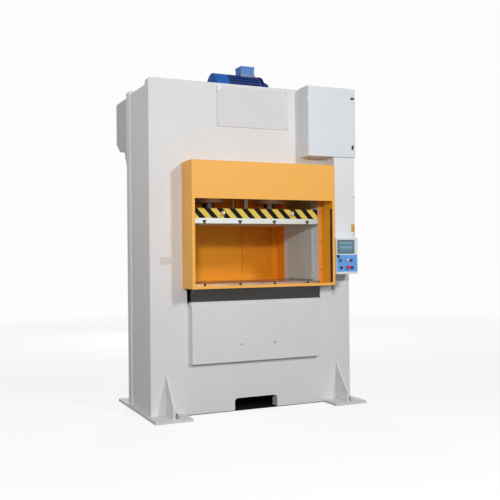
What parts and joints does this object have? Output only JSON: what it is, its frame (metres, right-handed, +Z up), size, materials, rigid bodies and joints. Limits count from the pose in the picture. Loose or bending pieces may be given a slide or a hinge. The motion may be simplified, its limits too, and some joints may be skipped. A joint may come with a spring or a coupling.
{
  "type": "hydraulic press",
  "caption": "Upright hydraulic press: a plate frame with window, a ram on twin cylinders, slotted bolster, guard hood, control box, cabinet and a power unit on top.",
  "frame": {"origin": "on the floor, under the ram axis, in the centre of the four anchor holes", "axes": "+X to the operator's right, +Y to the rear, +Z up"},
  "size_m": [2.11, 1.3903, 3.267],
  "materials": {
    "frame_paint": "semi-gloss light warm grey paint",
    "cabinet_paint": "fine textured light grey powder coat",
    "hood_paint": "semi-gloss orange paint",
    "power_paint": "gloss blue machine enamel",
    "ram_paint": "yellow paint with black slanting stripes",
    "bolster_steel": "milled steel, dark on its edges",
    "platen_steel": "ground steel",
    "rail_steel": "ground steel",
    "rod_chrome": "hard chrome, ground",
    "cylinder_steel": "turned steel",
    "screw_steel": "zinc plated",
    "dark_screws": "black oxide",
    "rotor_steel": "turned and laminated steel",
    "pipe_steel": "zinc plated precision tube",
    "sign_face": "brushed look, light grey",
    "curtain_case": "yellow coated case",
    "black_plastic": "moulded, fine texture",
    "legend_blue": "blue anodised legend plate",
    "bezel_black": "moulded",
    "equipment_plastic": "moulded housings",
    "button_green": "moulded",
    "button_red": "moulded",
    "button_black": "moulded",
    "button_blue": "moulded",
    "selector_black": "moulded"
  },
  "bodies": {
    "frame": {"bed_beam": "frame_paint", "bed_cover": "frame_paint", "bell_housing": "power_paint", "bolster_plate": "bolster_steel", "cabinet_body": "cabinet_paint", "cabinet_equipment": "equipment_plastic", "control_box": "cabinet_paint", "cover_bolts": "dark_screws", "crown_floor": "frame_paint", "crown_top": "frame_paint", "cylinder_barrels": "cylinder_steel", "cylinder_glands": "cylinder_steel", "flange_screws": "dark_screws", "front_plate": "frame_paint", "guard_hood": "hood_paint", "guide_rails": "rail_steel", "inner_plates": "frame_paint", "left_foot": "frame_paint", "levelling_screws": "dark_screws", "light_curtains": "curtain_case", "motor_fan_cover": "power_paint", "motor_housing": "power_paint", "motor_terminal_box": "power_paint", "oil_pipes": "pipe_steel", "oil_tank": "frame_paint", "panel_screws": "screw_steel", "pump": "power_paint", "rear_guard": "hood_paint", "rear_plate": "frame_paint", "right_foot": "frame_paint", "side_plates": "frame_paint", "sign_plate": "sign_face", "valve_manifold": "cylinder_steel", "wiring_column": "cabinet_paint", "wiring_column_cover": "cabinet_paint"},
    "ram": {"ram_body": "ram_paint", "ram_platen": "platen_steel", "guide_shoes": "platen_steel", "piston_rods": "rod_chrome", "ram_eyebolts": "screw_steel", "stroke_bars": "rail_steel"},
    "cabinet_leaf": {"cabinet_door": "cabinet_paint"},
    "upper_lock": {"cabinet_lock_upper": "black_plastic"},
    "lower_lock": {"cabinet_lock_lower": "black_plastic"},
    "box_leaf": {"control_box_door": "cabinet_paint", "touch_panel": "black_plastic", "operator_plate": "legend_blue", "operator_bezels": "bezel_black"},
    "box_lock": {"control_box_lock": "black_plastic"},
    "start": {"start_button": "button_green"},
    "selector": {"mode_selector": "selector_black"},
    "stop": {"stop_button": "button_red"},
    "inch": {"inch_button": "button_black"},
    "emergency": {"emergency_stop": "button_red"},
    "reset": {"reset_button": "button_blue"},
    "rear_left": {"rear_door_left": "hood_paint"},
    "rear_right": {"rear_door_right": "hood_paint"},
    "rear_latch": {"rear_door_latch": "black_plastic"},
    "cap": {"filler_cap": "black_plastic"},
    "rotor": {"motor_rotor": "rotor_steel"}
  },
  "joints": [
    {"name": "ram_slide", "type": "slide", "parent": "frame", "child": "ram", "axis": [0, 0, -1], "range_m": [0, 0.4]},
    {"name": "cabinet_door_hinge", "type": "hinge", "parent": "frame", "child": "cabinet_leaf", "pos_m": [0.476, -0.534, 2.7], "axis": [0, 0, -1], "range_deg": [0, 120]},
    {"name": "upper_lock_turn", "type": "hinge", "parent": "cabinet_leaf", "child": "upper_lock", "pos_m": [0.961, -0.53, 2.93], "axis": [0, 1, 0], "range_deg": [0, 90]},
    {"name": "lower_lock_turn", "type": "hinge", "parent": "cabinet_leaf", "child": "lower_lock", "pos_m": [0.961, -0.53, 2.459], "axis": [0, 1, 0], "range_deg": [0, 90]},
    {"name": "box_door_hinge", "type": "hinge", "parent": "frame", "child": "box_leaf", "pos_m": [0.956, -0.624, 1.4], "axis": [0, 0, 1], "range_deg": [0, 110]},
    {"name": "box_lock_turn", "type": "hinge", "parent": "box_leaf", "child": "box_lock", "pos_m": [0.7335, -0.62, 1.416], "axis": [0, -1, 0], "range_deg": [0, 90]},
    {"name": "start_press", "type": "slide", "parent": "box_leaf", "child": "start", "axis": [0, 1, 0], "range_m": [0, 0.004], "stiffness_N_per_m": 800},
    {"name": "selector_turn", "type": "hinge", "parent": "box_leaf", "child": "selector", "pos_m": [0.827, -0.64, 1.378], "axis": [0, 1, 0], "range_deg": [0, 90]},
    {"name": "stop_press", "type": "slide", "parent": "box_leaf", "child": "stop", "axis": [0, 1, 0], "range_m": [0, 0.004], "stiffness_N_per_m": 800},
    {"name": "inch_press", "type": "slide", "parent": "box_leaf", "child": "inch", "axis": [0, 1, 0], "range_m": [0, 0.004], "stiffness_N_per_m": 800},
    {"name": "emergency_press", "type": "slide", "parent": "box_leaf", "child": "emergency", "axis": [0, 1, 0], "range_m": [0, 0.005]},
    {"name": "reset_press", "type": "slide", "parent": "box_leaf", "child": "reset", "axis": [0, 1, 0], "range_m": [0, 0.004], "stiffness_N_per_m": 800},
    {"name": "rear_left_hinge", "type": "hinge", "parent": "frame", "child": "rear_left", "pos_m": [-0.678, 0.6173, 1.7], "axis": [0, 0, 1], "range_deg": [0, 110]},
    {"name": "rear_right_hinge", "type": "hinge", "parent": "frame", "child": "rear_right", "pos_m": [0.678, 0.6173, 1.7], "axis": [0, 0, -1], "range_deg": [0, 110]},
    {"name": "rear_latch_turn", "type": "hinge", "parent": "rear_right", "child": "rear_latch", "pos_m": [0.3355, 0.615, 1.865], "axis": [0, -1, 0], "range_deg": [0, 90]},
    {"name": "filler_cap_turn", "type": "hinge", "parent": "frame", "child": "cap", "pos_m": [-0.6, 0.6, 2.98], "axis": [0, 0, 1], "range_deg": [0, 90]},
    {"name": "rotor_turn", "type": "hinge", "parent": "frame", "child": "rotor", "pos_m": [0, 0, 3.035], "axis": [1, 0, 0], "continuous": true}
  ]
}
